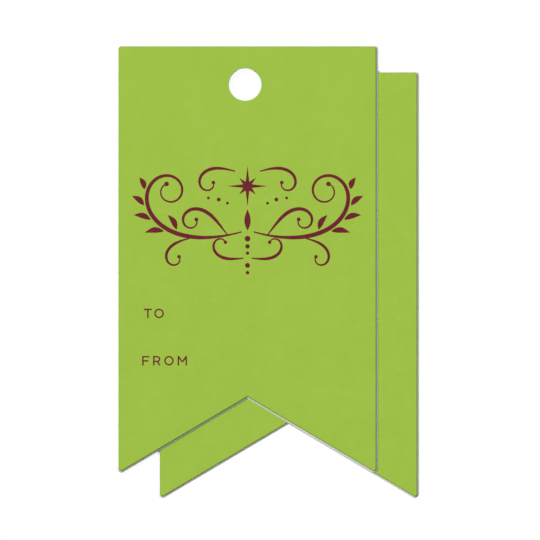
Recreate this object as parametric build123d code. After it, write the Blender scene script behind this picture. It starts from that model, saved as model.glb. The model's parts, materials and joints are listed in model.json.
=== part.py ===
from build123d import *
from math import hypot, radians, tan
import os

# Gift tag in millimetres: two swallow-tail cards lie fanned one on the other, face up.
# Each card is a pale core board with green paper glued on its face and its back.
# The three layers are cut out together with a sloping rim, which bares the edge of the core.
# X runs across the cards, Y along them towards the string hole, Z up through the stack.
# The origin is on the surface they lie on, at the middle of the pair's outline.

# Outline of one card, measured at its back, where the sloping rim makes it largest
card_width = 50.8
card_length = 83.2  # square end to the rounded points of the tails
tail_angle = 30.56  # degrees that each side of the notch slopes away from the square end

# Layers of one card
face_paper_thickness = 0.2  # heavy cover paper
core_thickness = 0.3
back_paper_thickness = 0.1  # light lining paper

# Cut rim: a narrow upright land at the back, then a slope in to the smaller face
rim_land = 0.05
rim_slope_run = 0.52

# Corners as the face shows them, the slope runs round them at its full width
face_corner_radius = 0.32  # square end
face_tip_radius = 0.32  # points of the tails

# String hole, one punch stroke through the fanned pair
hole_diameter = 6.35
hole_from_square_end = 7.75
hole_left_of_centre = 0.46

# How the pair lies: the lower card is shifted to the right and down from the upper one
fan_across = 8.0
fan_along = 5.0
air_gap = 0.02  # left between the upper card's back and the lower card's face

card_thickness = face_paper_thickness + core_thickness + back_paper_thickness
stack_height = 2 * card_thickness + air_gap
corner_radius = face_corner_radius + rim_slope_run
tip_radius = face_tip_radius + rim_slope_run
tail_slope = tan(radians(tail_angle))
tip_cut_back = tip_radius * (hypot(1, tail_slope) + tail_slope - 1)  # lost from a sharp point by rounding it

rear_place = Pos(fan_across / 2, -fan_along / 2, 0)
front_place = Pos(-fan_across / 2, fan_along / 2, card_thickness + air_gap)
hole_place = Pos(-fan_across / 2 - hole_left_of_centre, fan_along / 2 + card_length / 2 - hole_from_square_end)


def card_blank():
    # One card, centred on its outline with its back on Z = 0: square at one end, notched at the other
    side = card_width / 2
    square_end = card_length / 2
    sharp_tip = -square_end - tip_cut_back
    notch_point = sharp_tip + side * tail_slope
    outline = Polyline(
        (-side, square_end),
        (side, square_end),
        (side, sharp_tip),
        (0, notch_point),
        (-side, sharp_tip),
        close=True,
    )
    sheet = make_face(outline)
    sheet = fillet(sheet.vertices().group_by(Axis.Y)[-1], corner_radius)
    sheet = fillet(sheet.vertices().group_by(Axis.Y)[0], tip_radius)
    blank = extrude(sheet, card_thickness)
    face = blank.faces().sort_by(Axis.Z)[-1]
    slope_depth = card_thickness - rim_land
    return chamfer(face.edges(), rim_slope_run, slope_depth, reference=face)


def string_punch():
    # The punch passes through the whole stack, so both cards are open on one axis
    return extrude(hole_place * Circle(hole_diameter / 2), stack_height)


def layers(card, back_height):
    # Two level glue lines part the card into its back paper, core board and face paper
    back_glue_line = Plane.XY.offset(back_height + back_paper_thickness)
    face_glue_line = back_glue_line.offset(core_thickness)
    back_paper = split(card, bisect_by=back_glue_line, keep=Keep.BOTTOM)
    faced_core = split(card, bisect_by=back_glue_line, keep=Keep.TOP)
    core_board = split(faced_core, bisect_by=face_glue_line, keep=Keep.BOTTOM)
    face_paper = split(faced_core, bisect_by=face_glue_line, keep=Keep.TOP)
    return back_paper, core_board, face_paper


rear_card = rear_place * card_blank() - string_punch()
front_card = front_place * card_blank() - string_punch()

rear_back_paper, rear_core_board, rear_face_paper = layers(rear_card, 0)
front_back_paper, front_core_board, front_face_paper = layers(front_card, card_thickness + air_gap)

nodes = {
    "rear_back_paper": rear_back_paper,
    "rear_core_board": rear_core_board,
    "rear_face_paper": rear_face_paper,
    "front_back_paper": front_back_paper,
    "front_core_board": front_core_board,
    "front_face_paper": front_face_paper,
}

os.makedirs("parts", exist_ok=True)
for name, node in nodes.items():
    export_step(node, f"parts/{name}.step")
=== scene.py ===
import json
import math

import bmesh
import bpy
from mathutils import Matrix, Vector


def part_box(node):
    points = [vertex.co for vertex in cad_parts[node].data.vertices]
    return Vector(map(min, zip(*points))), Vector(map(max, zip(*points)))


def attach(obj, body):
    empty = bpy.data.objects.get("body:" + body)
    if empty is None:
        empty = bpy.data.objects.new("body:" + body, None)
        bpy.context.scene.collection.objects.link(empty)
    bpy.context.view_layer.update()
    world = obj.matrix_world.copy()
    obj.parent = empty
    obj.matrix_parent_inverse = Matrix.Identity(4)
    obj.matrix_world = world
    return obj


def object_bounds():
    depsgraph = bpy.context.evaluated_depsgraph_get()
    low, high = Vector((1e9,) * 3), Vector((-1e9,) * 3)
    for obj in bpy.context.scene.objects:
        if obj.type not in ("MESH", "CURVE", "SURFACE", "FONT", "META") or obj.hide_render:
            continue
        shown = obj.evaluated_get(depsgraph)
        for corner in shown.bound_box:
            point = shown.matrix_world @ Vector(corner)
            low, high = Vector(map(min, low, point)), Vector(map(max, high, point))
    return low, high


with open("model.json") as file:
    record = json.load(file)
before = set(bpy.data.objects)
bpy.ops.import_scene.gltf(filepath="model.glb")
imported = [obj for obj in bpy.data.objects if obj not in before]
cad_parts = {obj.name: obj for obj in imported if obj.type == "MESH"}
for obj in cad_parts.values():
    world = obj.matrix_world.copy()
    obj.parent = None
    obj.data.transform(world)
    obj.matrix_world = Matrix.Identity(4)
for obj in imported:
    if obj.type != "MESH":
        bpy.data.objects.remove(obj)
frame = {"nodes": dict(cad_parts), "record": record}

cadLow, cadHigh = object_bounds()
scene = bpy.context.scene
mm = 0.001
faceLow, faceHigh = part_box("front_face_paper")  # the printed paper, its top is the tag's face
backLow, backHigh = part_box("front_back_paper")  # reaches out to the upper card's full outline
print("frame loaded, box in mm", [round(x / mm, 2) for x in (*cadLow, *cadHigh)])


def toLinear(hexColour):
    channels = [int(hexColour[i:i + 2], 16) / 255 for i in (1, 3, 5)]
    linear = [c / 12.92 if c <= 0.04045 else ((c + 0.055) / 1.055) ** 2.4 for c in channels]
    return (*linear, 1.0)


def perSize(sizeMm):  # texture scale whose features are about sizeMm across
    return 1 / (sizeMm * mm)


def addNode(tree, kind, links=None, values=None, **settings):
    node = tree.nodes.new(kind)
    for name, value in settings.items():
        setattr(node, name, value)
    for socket, value in (values or {}).items():
        node.inputs[socket].default_value = value
    for socket, source in (links or {}).items():
        tree.links.new(source, node.inputs[socket])
    return node


colourA, colourB, colourOut = 6, 7, 2  # sockets of a Mix node that mixes colours


def newMaterial(name):
    material = bpy.data.materials.new(name)
    material.use_nodes = True
    return material, material.node_tree, material.node_tree.nodes["Principled BSDF"]


def dressShader(tree, shader, colour, bump, matte, specular):
    tree.links.new(colour.outputs[colourOut], shader.inputs["Base Color"])
    tree.links.new(bump.outputs["Normal"], shader.inputs["Normal"])
    tree.links.new(matte.outputs["Result"], shader.inputs["Roughness"])
    shader.inputs["Specular IOR Level"].default_value = specular


# Uncoated paper, dyed through and lightly calendered: flat matte green,
# with a faint cloudy formation and a few fibres lying in the surface
greenPaper = {
    "body": "#9CBE42",
    "cloudLight": "#A0C146",
    "fibre": "#B4CF66",
    "cutEdge": "#8AA83E",  # darker than the face: partly fibres seen end on, partly painted shade that deepens the line along the rims
    "clouds": {"Scale": perSize(9.0), "Detail": 2.0},
    "patches": {"Scale": perSize(2.2), "Detail": 3.0},
    "cloudRange": {"From Min": 0.12, "From Max": 0.40},
    "fibreMm": (1.6, 0.11, 1.0),  # long, wide and deep
    "fibreTurns": (28, -47),  # degrees, two lays that cross
    "fibreNoise": {"Scale": 1.0, "Detail": 1.0, "Distortion": 0.6},
    "fibreRange": {"From Min": 0.66, "From Max": 0.80, "To Max": 0.45},  # few, and none at full strength
    # real tooth is near 0.05 mm, drawn coarser so that it shows
    "tooth": {"Scale": perSize(0.3), "Detail": 3.0, "Roughness": 0.6},
    "relief": {"Strength": 1.0, "Distance": 0.012 * mm},
    # roughness in the hollows of the tooth, and on its pressed tops and the fibres
    "matteRange": {"From Min": 0.35, "From Max": 0.75, "To Min": 0.90, "To Max": 0.80},
    "specular": 0.18,
    "levelRange": {"From Min": 0.90, "From Max": 0.98},  # a steeper place is a cut edge
}
# The thin lining on the back is a white paper, green on its outer side only: its cut edge is pale
greenLining = dict(greenPaper, cutEdge="#EEF1EC")


def makeGreenPaper(name, look):
    material, tree, shader = newMaterial(name)
    place = addNode(tree, "ShaderNodeTexCoord").outputs["Object"]
    clouds = addNode(tree, "ShaderNodeTexNoise", {"Vector": place}, look["clouds"])
    patches = addNode(tree, "ShaderNodeTexNoise", {"Vector": place}, look["patches"])
    formation = addNode(tree, "ShaderNodeMath", {0: clouds.outputs["Fac"], 1: patches.outputs["Fac"]},
                        operation="MULTIPLY")
    clouded = addNode(tree, "ShaderNodeMapRange", {"Value": formation.outputs[0]}, look["cloudRange"])
    colour = addNode(tree, "ShaderNodeMix", {"Factor": clouded.outputs["Result"]},
                     {colourA: toLinear(look["body"]), colourB: toLinear(look["cloudLight"])},
                     data_type="RGBA")
    height = addNode(tree, "ShaderNodeTexNoise", {"Vector": place}, look["tooth"]).outputs["Fac"]
    for turn in look["fibreTurns"]:  # each lay is noise drawn long one way and thin the other
        lay = addNode(tree, "ShaderNodeMapping", {"Vector": place},
                      {"Rotation": (0, 0, math.radians(turn)),
                       "Scale": [size * mm for size in look["fibreMm"]]}, vector_type="TEXTURE")
        strands = addNode(tree, "ShaderNodeTexNoise", {"Vector": lay.outputs["Vector"]}, look["fibreNoise"])
        sparse = addNode(tree, "ShaderNodeMapRange", {"Value": strands.outputs["Fac"]}, look["fibreRange"])
        colour = addNode(tree, "ShaderNodeMix",
                         {"Factor": sparse.outputs["Result"], colourA: colour.outputs[colourOut]},
                         {colourB: toLinear(look["fibre"])}, data_type="RGBA")
        height = addNode(tree, "ShaderNodeMath", {0: height, 1: sparse.outputs["Result"]},
                         operation="ADD").outputs[0]
    # steep faces take the cutEdge colour; on the cover paper that darker tone is partly painted shade along
    # the rims
    facing = addNode(tree, "ShaderNodeNewGeometry").outputs["True Normal"]
    upright = addNode(tree, "ShaderNodeSeparateXYZ", {0: facing}).outputs["Z"]
    level = addNode(tree, "ShaderNodeMath", {0: upright}, operation="ABSOLUTE")
    flat = addNode(tree, "ShaderNodeMapRange", {"Value": level.outputs[0]}, look["levelRange"])
    colour = addNode(tree, "ShaderNodeMix",
                     {"Factor": flat.outputs["Result"], colourB: colour.outputs[colourOut]},
                     {colourA: toLinear(look["cutEdge"])}, data_type="RGBA")
    bump = addNode(tree, "ShaderNodeBump", {"Height": height}, look["relief"])
    matte = addNode(tree, "ShaderNodeMapRange", {"Value": height}, look["matteRange"])
    dressShader(tree, shader, colour, bump, matte, look["specular"])
    return material


# Uncoated pulp board, cut with a slanting knife: off-white, with the layers of
# pulp drawn out into streaks along the cut and a few grey specks
paleBoard = {
    "body": "#EFF3EE",
    "streak": "#DBE0DA",
    "speck": "#A3A79E",
    "streakMm": (1.4, 1.4, 0.05),  # long in the sheet and thin through it
    "streakNoise": {"Scale": 1.0, "Detail": 4.0, "Roughness": 0.6},
    "streakRange": {"From Min": 0.40, "From Max": 0.72},
    "specks": {"Scale": perSize(0.35), "Detail": 2.0},
    "speckRange": {"From Min": 0.68, "From Max": 0.78, "To Max": 0.7},
    "relief": {"Strength": 0.8, "Distance": 0.01 * mm},
    "matteRange": {"To Min": 0.95, "To Max": 0.86},  # roughness of loose pulp, and of pressed streaks
    "specular": 0.15,
}


def makePaleBoard(look):
    material, tree, shader = newMaterial("pale pulp board")
    place = addNode(tree, "ShaderNodeTexCoord").outputs["Object"]
    drawn = addNode(tree, "ShaderNodeMapping", {"Vector": place},
                    {"Scale": [size * mm for size in look["streakMm"]]}, vector_type="TEXTURE")
    layers = addNode(tree, "ShaderNodeTexNoise", {"Vector": drawn.outputs["Vector"]}, look["streakNoise"])
    streaks = addNode(tree, "ShaderNodeMapRange", {"Value": layers.outputs["Fac"]}, look["streakRange"])
    streaked = addNode(tree, "ShaderNodeMix", {"Factor": streaks.outputs["Result"]},
                       {colourA: toLinear(look["body"]), colourB: toLinear(look["streak"])},
                       data_type="RGBA")
    grains = addNode(tree, "ShaderNodeTexNoise", {"Vector": place}, look["specks"])
    specks = addNode(tree, "ShaderNodeMapRange", {"Value": grains.outputs["Fac"]}, look["speckRange"])
    colour = addNode(tree, "ShaderNodeMix",
                     {"Factor": specks.outputs["Result"], colourA: streaked.outputs[colourOut]},
                     {colourB: toLinear(look["speck"])}, data_type="RGBA")
    bump = addNode(tree, "ShaderNodeBump", {"Height": layers.outputs["Fac"]}, look["relief"])
    matte = addNode(tree, "ShaderNodeMapRange", {"Value": streaks.outputs["Result"]}, look["matteRange"])
    dressShader(tree, shader, colour, bump, matte, look["specular"])
    return material


# Oil printing ink rolled on uncoated paper: dark wine red with a low sheen,
# a little thinner where the paper's tooth shows through
wineInk = {
    "body": "#662029",
    "thin": "#782B38",
    "mottle": {"Scale": perSize(0.5), "Detail": 4.0, "Roughness": 0.65},
    "thinRange": {"From Min": 0.42, "From Max": 0.74},
    "tooth": {"Scale": perSize(0.3), "Detail": 3.0},  # the paper's own, drawn coarser so that it shows
    "relief": {"Strength": 1.0, "Distance": 0.006 * mm},
    "matteRange": {"To Min": 0.58, "To Max": 0.74},  # roughness of the full film, and of the thin one
    "specular": 0.06,
}


def makeWineInk(look):
    material, tree, shader = newMaterial("wine-red printing ink")
    place = addNode(tree, "ShaderNodeTexCoord").outputs["Object"]
    mottle = addNode(tree, "ShaderNodeTexNoise", {"Vector": place}, look["mottle"])
    thin = addNode(tree, "ShaderNodeMapRange", {"Value": mottle.outputs["Fac"]}, look["thinRange"])
    colour = addNode(tree, "ShaderNodeMix", {"Factor": thin.outputs["Result"]},
                     {colourA: toLinear(look["body"]), colourB: toLinear(look["thin"])},
                     data_type="RGBA")
    tooth = addNode(tree, "ShaderNodeTexNoise", {"Vector": place}, look["tooth"])
    bump = addNode(tree, "ShaderNodeBump", {"Height": tooth.outputs["Fac"]}, look["relief"])
    matte = addNode(tree, "ShaderNodeMapRange", {"Value": thin.outputs["Result"]}, look["matteRange"])
    dressShader(tree, shader, colour, bump, matte, look["specular"])
    return material


layerMaterials = {
    "face_paper": makeGreenPaper("green cover paper", greenPaper),
    "core_board": makePaleBoard(paleBoard),
    "back_paper": makeGreenPaper("green lining paper", greenLining),
}
inkMaterial = makeWineInk(wineInk)
for card in ("front", "rear"):
    for layer, material in layerMaterials.items():
        mesh = frame["nodes"][card + "_" + layer].data
        mesh.materials.clear()
        mesh.materials.append(material)
print("papers, board and ink made")

# How the ink lies on the face, sizes in mm
inkFilm = {
    "thick": 0.02,
    "step": Vector((0, 0, 0.002)),  # a stroke that meets another lies this much higher
    "weld": 0.0005,  # ends closer than this are one, which closes a round letter on itself
    "nibPower": 1.5,  # how softly a stroke swells and thins
    "dotSides": 28,
    "leafSides": 36,
}


def acrossHeading(heading):  # one step to the left of a heading in radians
    return Vector((-math.sin(heading), math.cos(heading), 0))


def alongHeading(heading):
    return Vector((math.cos(heading), math.sin(heading), 0))


def penPath(pen):  # points and headings of one pen stroke, whose bend grows along it
    point = Vector((*pen["start"], 0))
    heading = math.radians(pen["heading"])
    step = pen["length"] / pen["steps"]
    bendFrom, bendTo = pen["bends"]
    path = [(point, heading)]
    for i in range(pen["steps"]):
        along = (i + 0.5) / pen["steps"]
        turn = math.radians(bendFrom + (bendTo - bendFrom) * along ** pen["quicken"]) * step
        point = point + alongHeading(heading + turn / 2) * step
        heading += turn
        path.append((point, heading))
    return path


def besidePath(path, share, turn, gap):  # a place a little to the side of a stroke, facing away from it
    point, heading = path[round(share * (len(path) - 1))]
    side = math.copysign(gap, turn)
    return point + acrossHeading(heading) * side, math.degrees(heading) + turn


def dragNib(bm, path, pen):  # the nib is one edge, pulled along the path while its width swells and thins
    edge = None
    for i, (point, heading) in enumerate(path):
        along = i / (len(path) - 1)
        swell = along / pen["peak"] if along < pen["peak"] else (1 - along) / (1 - pen["peak"])
        opened = math.sin(swell * math.pi / 2) ** inkFilm["nibPower"]
        half = acrossHeading(heading) * (pen["thin"] + (pen["thick"] - pen["thin"]) * opened) / 2
        if edge is None:
            left = bm.verts.new(point + half)
            right = bm.verts.new(point - half)
            edge = bm.edges.new((left, right))
            continue
        pulled = bmesh.ops.extrude_edge_only(bm, edges=[edge])["geom"]
        ends = [g for g in pulled if isinstance(g, bmesh.types.BMVert)]
        ends.sort(key=lambda v: (v.co - left.co).length)
        left, right = ends
        left.co = point + half
        right.co = point - half
        edge = bm.edges.get(ends)


def drawDot(bm, centre, radius):
    made = bmesh.ops.create_circle(bm, cap_ends=True, segments=inkFilm["dotSides"], radius=radius)
    bmesh.ops.translate(bm, verts=made["verts"], vec=Vector(centre))


def drawLeaf(bm, base, heading, leaf):  # a circle drawn out to a point at both ends
    made = bmesh.ops.create_circle(bm, cap_ends=True, segments=inkFilm["leafSides"], radius=0.5)
    for v in made["verts"]:
        along = v.co.x + 0.5
        belly = math.sin(math.pi * along ** leaf["fullness"])
        side = math.copysign(leaf["width"] / 2, v.co.y)
        curl = leaf["curl"] * leaf["length"] * math.sin(math.pi * along)
        v.co = Vector((along * leaf["length"], side * belly + curl, 0))
    turned = Matrix.Translation((base[0], base[1], 0)) @ Matrix.Rotation(math.radians(heading), 4, "Z")
    bmesh.ops.transform(bm, matrix=turned, verts=made["verts"])


def drawStar(bm, star):  # a circle whose points go out and in by turns
    made = bmesh.ops.create_circle(bm, cap_ends=True, segments=2 * star["rays"], radius=1.0)
    radii = (star["longRay"], star["waist"], star["shortRay"], star["waist"])
    for v in made["verts"]:
        angle = math.atan2(v.co.y, v.co.x)
        v.co = v.co * radii[round(angle / (math.pi / star["rays"])) % len(radii)]
    bmesh.ops.translate(bm, verts=made["verts"], vec=Vector((*star["centre"], 0)))


def mirrorHalf(bm):  # the left half follows the right one
    bmesh.ops.mirror(bm, geom=bm.verts[:] + bm.edges[:] + bm.faces[:],
                     matrix=Matrix.Identity(4), merge_dist=-1, axis="X")


def printPiece(name, bm, origin):  # a flat drawing in mm becomes an ink film lying on the face
    bmesh.ops.remove_doubles(bm, verts=bm.verts[:], dist=inkFilm["weld"])
    for face in bm.faces:
        face.normal_update()
        if face.normal.z < 0:
            face.normal_flip()
    bmesh.ops.solidify(bm, geom=bm.faces[:], thickness=inkFilm["thick"])
    lowest = min(v.co.z for v in bm.verts)
    bmesh.ops.translate(bm, verts=bm.verts[:], vec=Vector((0, 0, -lowest)))
    bmesh.ops.transform(bm, matrix=Matrix.Translation(origin) @ Matrix.Scale(mm, 4), verts=bm.verts[:])
    bmesh.ops.recalc_face_normals(bm, faces=bm.faces[:])
    mesh = bpy.data.meshes.new(name)
    bm.to_mesh(mesh)
    bm.free()
    mesh.materials.append(inkMaterial)
    piece = bpy.data.objects.new(name, mesh)
    scene.collection.objects.link(piece)
    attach(piece, "front_tag")


# Printed ornament: a pair of mirrored pen scrolls with leaves either side of a star, sizes in mm.
# A branch leaves the main stroke at a share of its length, turned away by some degrees
ornament = {
    "belowSquareEnd": 32.2,
    "main": {"start": (1.26, -4.2), "heading": -16, "length": 42.0, "bends": (1.9, 35.7), "quicken": 2.1,
             "steps": 120, "thin": 0.26, "thick": 0.85, "peak": 0.3, "ball": 0.45},
    "branches": (
        {"share": 0.07, "turn": 62, "gap": 0.28, "length": 16.4, "bends": (1.2, -54.8), "quicken": 1.5,
         "steps": 80, "thin": 0.24, "thick": 0.7, "peak": 0.35, "ball": 0.38},
        {"share": 0.24, "turn": -24, "gap": 0.38, "length": 10.9, "bends": (-1.2, -62.0), "quicken": 1.4,
         "steps": 60, "thin": 0.24, "thick": 0.55, "peak": 0.35, "ball": 0.34},
    ),
    "crown": {"start": (2.5, 7.6), "heading": 16, "length": 13.0, "bends": (-2.0, -56.0), "quicken": 1.5,
              "steps": 60, "thin": 0.24, "thick": 0.62, "peak": 0.35, "ball": 0.36},
    "foot": {"start": (0.9, -9.3), "heading": -6, "length": 10.4, "bends": (1.0, 60.0), "quicken": 1.5,
             "steps": 60, "thin": 0.24, "thick": 0.6, "peak": 0.35, "ball": 0.34},
    "leaf": {"gap": 0.68, "width": 1.1, "fullness": 0.85, "curl": 0.1},
    "leaves": (
        {"share": 0.36, "turn": -36, "length": 3.7},
        {"share": 0.43, "turn": -38, "length": 3.45},
        {"share": 0.50, "turn": -40, "length": 3.0},
        {"share": 0.565, "turn": -42, "length": 2.5},
        {"share": 0.31, "turn": 38, "length": 3.35},
    ),
    "star": {"centre": (0, 4.7), "rays": 8, "longRay": 3.9, "shortRay": 2.3, "waist": 0.92},
    "bud": {"base": (0, -3.9), "heading": 90, "length": 4.1, "width": 1.2, "fullness": 0.9, "curl": 0.0},
    # dots down the middle and beside the star: place and radius
    "drops": ((-5.5, 0.55), (-7.0, 0.43), (-8.3, 0.33), (-10.7, 0.48), (-12.1, 0.34)),
    "sparks": ((3.9, 1.4, 0.28), (5.6, 2.1, 0.37), (7.6, 2.4, 0.28)),
}


def printOrnament(look):
    origin = Vector(((faceLow.x + faceHigh.x) / 2, backHigh.y - look["belowSquareEnd"] * mm, faceHigh.z))
    main = penPath(look["main"])
    strokes = [(main, look["main"])]
    for branch in look["branches"]:
        start, heading = besidePath(main, branch["share"], branch["turn"], branch["gap"])
        path = penPath(dict(branch, start=start.xy, heading=heading))
        strokes.append(([(point + inkFilm["step"], angle) for point, angle in path], branch))
    for name in ("crown", "foot"):
        strokes.append((penPath(look[name]), look[name]))
    scrolls = bmesh.new()
    for path, pen in strokes:
        dragNib(scrolls, path, pen)
        drawDot(scrolls, path[0][0] + inkFilm["step"], pen["thin"] / 2)  # the nib leaves a round start
        drawDot(scrolls, path[-1][0] + inkFilm["step"], pen["ball"])
    mirrorHalf(scrolls)
    printPiece("front_scroll_print", scrolls, origin)

    leaves = bmesh.new()
    for leaf in look["leaves"]:
        base, heading = besidePath(main, leaf["share"], leaf["turn"], look["leaf"]["gap"])
        drawLeaf(leaves, base, heading, dict(look["leaf"], length=leaf["length"]))
    mirrorHalf(leaves)
    printPiece("front_leaf_print", leaves, origin)

    middle = bmesh.new()
    drawStar(middle, look["star"])
    drawLeaf(middle, look["bud"]["base"], look["bud"]["heading"], look["bud"])
    for y, radius in look["drops"]:
        drawDot(middle, (0, y, 0), radius)
    for x, y, radius in look["sparks"]:
        drawDot(middle, (x, y, 0), radius)
        drawDot(middle, (-x, y, 0), radius)
    printPiece("front_star_print", middle, origin)


printOrnament(ornament)
print("ornament printed")

# Plain capitals that mark where the two names go, sizes in mm
labels = {
    "capHeight": 1.86,
    "stroke": 0.275,
    "arcStep": 8,  # degrees between two points of a round stroke
    "words": (
        {"word": "TO", "piece": "front_to_label", "fromLeft": 5.29, "belowSquareEnd": 53.15, "gap": 0.48},
        {"word": "FROM", "piece": "front_from_label", "fromLeft": 4.94, "belowSquareEnd": 62.33,
         "gap": 0.745},
    ),
    # a letter's width and strokes, in cap heights: each stroke has a start, a heading in degrees,
    # and then runs of a length and a turn
    "letters": {
        "T": (0.82, (((0, 0.92), 0, ((0.82, 0),)),
                     ((0.41, 0.9), -90, ((0.9, 0),)))),
        "O": (1.0, (((0.92, 0.5), 90, ((2.64, 360),)),)),
        "F": (0.74, (((0.08, 0), 90, ((1.0, 0),)),
                     ((0.1, 0.92), 0, ((0.64, 0),)),
                     ((0.1, 0.48), 0, ((0.54, 0),)))),
        "R": (0.76, (((0.08, 0), 90, ((1.0, 0),)),
                     ((0.1, 0.92), 0, ((0.34, 0), (0.77, -180), (0.34, 0))),
                     ((0.4, 0.45), -54, ((0.53, 0),)))),
        "M": (0.98, (((0.08, 0), 90, ((1.0, 0),)),
                     ((0.9, 0), 90, ((1.0, 0),)),
                     ((0.09, 0.94), -55, ((0.7, 0),)),
                     ((0.89, 0.94), -125, ((0.7, 0),)))),
    },
}


def runPath(start, heading, runs, look):  # points and headings of a stroke of straight runs and arcs
    point = Vector((*start, 0)) * look["capHeight"]
    angle = math.radians(heading)
    path = [(point, angle)]
    for length, turn in runs:
        steps = max(1, round(abs(turn) / look["arcStep"]))
        bend = math.radians(turn) / steps
        for _ in range(steps):
            point = point + alongHeading(angle + bend / 2) * length * look["capHeight"] / steps
            angle += bend
            path.append((point, angle))
    return path


def printLabel(look, label):
    pen = {"thin": look["stroke"], "thick": look["stroke"], "peak": 0.5}  # an even stroke
    word = bmesh.new()
    left = 0.0
    for letter in label["word"]:
        width, strokes = look["letters"][letter]
        for i, (start, heading, runs) in enumerate(strokes):
            shift = Vector((left, 0, 0)) + inkFilm["step"] * i
            path = runPath(start, heading, runs, look)
            dragNib(word, [(point + shift, angle) for point, angle in path], pen)
        left += width * look["capHeight"] + label["gap"]
    corner = Vector((backLow.x, backHigh.y, faceHigh.z))
    origin = corner + Vector((label["fromLeft"], -label["belowSquareEnd"], 0)) * mm
    printPiece(label["piece"], word, origin)


for label in labels["words"]:
    printLabel(labels, label)
print("labels printed")


def seenDirectly(tree):  # one for rays that show a background, none for rays that only carry light
    rays = addNode(tree, "ShaderNodeLightPath")
    seen = rays.outputs["Is Camera Ray"]
    for kind in ("Is Glossy Ray", "Is Transmission Ray"):
        either = addNode(tree, "ShaderNodeMath", {0: seen, 1: rays.outputs[kind]}, operation="MAXIMUM")
        seen = either.outputs[0]
    return seen


# White sweep under the tag: shows white to the camera and still takes a soft shadow
floorLook = {
    "size": 4.0,  # m
    "belowMm": 0.02,
    "albedo": "#FFFFFF",
    "white": 0.95,  # share of plain white in what the camera sees, the rest is the lit floor
}


def makeFloor(look):
    bm = bmesh.new()
    bmesh.ops.create_grid(bm, x_segments=1, y_segments=1, size=look["size"] / 2)
    bmesh.ops.translate(bm, verts=bm.verts[:], vec=Vector((0, 0, cadLow.z - look["belowMm"] * mm)))
    mesh = bpy.data.meshes.new("floor")
    bm.to_mesh(mesh)
    bm.free()
    floor = bpy.data.objects.new("floor", mesh)
    scene.collection.objects.link(floor)
    material, tree, shader = newMaterial("white floor")
    tree.nodes.remove(shader)
    matte = addNode(tree, "ShaderNodeBsdfDiffuse", values={"Color": toLinear(look["albedo"])})
    glow = addNode(tree, "ShaderNodeEmission", values={"Color": (1, 1, 1, 1), "Strength": 1.0})
    share = addNode(tree, "ShaderNodeMath", {0: seenDirectly(tree)}, {1: look["white"]},
                    operation="MULTIPLY")
    blend = addNode(tree, "ShaderNodeMixShader",
                    {0: share.outputs[0], 1: matte.outputs[0], 2: glow.outputs[0]})
    tree.links.new(blend.outputs[0], tree.nodes["Material Output"].inputs["Surface"])
    mesh.materials.append(material)


makeFloor(floorLook)

# Soft studio light: a wide key from the upper left, a weak panel beyond the square end and an even fill
lightLook = {
    "key": {"energy": 3.15, "angle": math.radians(20)},
    "keyFrom": (-1.12, 0.92, 1.82),
    "panel": {"energy": 0.25, "size": 0.3},
    "panelFrom": (0.0, 0.34, 0.22),
    "fill": 0.13,
}


def addLamp(name, kind, place, settings):  # every lamp points at the middle of the tag
    lamp = bpy.data.lights.new(name, kind)
    for setting, value in settings.items():
        setattr(lamp, setting, value)
    holder = bpy.data.objects.new(name, lamp)
    holder.location = place
    holder.rotation_euler = (-Vector(place)).to_track_quat("-Z", "Y").to_euler()
    scene.collection.objects.link(holder)


def makeLights(look):
    addLamp("key", "SUN", look["keyFrom"], look["key"])
    addLamp("panel", "AREA", look["panelFrom"], look["panel"])
    world = bpy.data.worlds.new("studio")
    scene.world = world
    world.use_nodes = True
    tree = world.node_tree
    background = tree.nodes["Background"]
    background.inputs["Color"].default_value = (1, 1, 1, 1)
    level = addNode(tree, "ShaderNodeMapRange", {"Value": seenDirectly(tree)},
                    {"To Min": look["fill"], "To Max": 1.0})  # white to look at, a weak fill as light
    tree.links.new(level.outputs["Result"], background.inputs["Strength"])


makeLights(lightLook)
print("floor and lights made")

# The photograph looks straight down: its scale and the hole's place in it set the camera
photoView = {
    "imagePixels": 540,
    "mmPerPixel": 0.19417,
    "holePixel": (245.12, 84.39),
    "lens": 120,
    "sensor": 36,
    "nearest": 0.01,  # m
}


def makeCamera(look):
    hole = next(m for m in frame["record"]["mounts"] if m["name"] == "string_hole")["pos_m"]
    pixel = look["mmPerPixel"] * mm
    middle = look["imagePixels"] / 2
    data = bpy.data.cameras.new("camera")
    data.lens = look["lens"]
    data.sensor_width = look["sensor"]
    data.clip_start = look["nearest"]
    camera = bpy.data.objects.new("camera", data)
    camera.location = (
        hole[0] - (look["holePixel"][0] - middle) * pixel,
        hole[1] + (look["holePixel"][1] - middle) * pixel,
        faceHigh.z + look["imagePixels"] * pixel * look["lens"] / look["sensor"],
    )
    scene.collection.objects.link(camera)
    scene.camera = camera


makeCamera(photoView)
scene.view_settings.view_transform = "Standard"
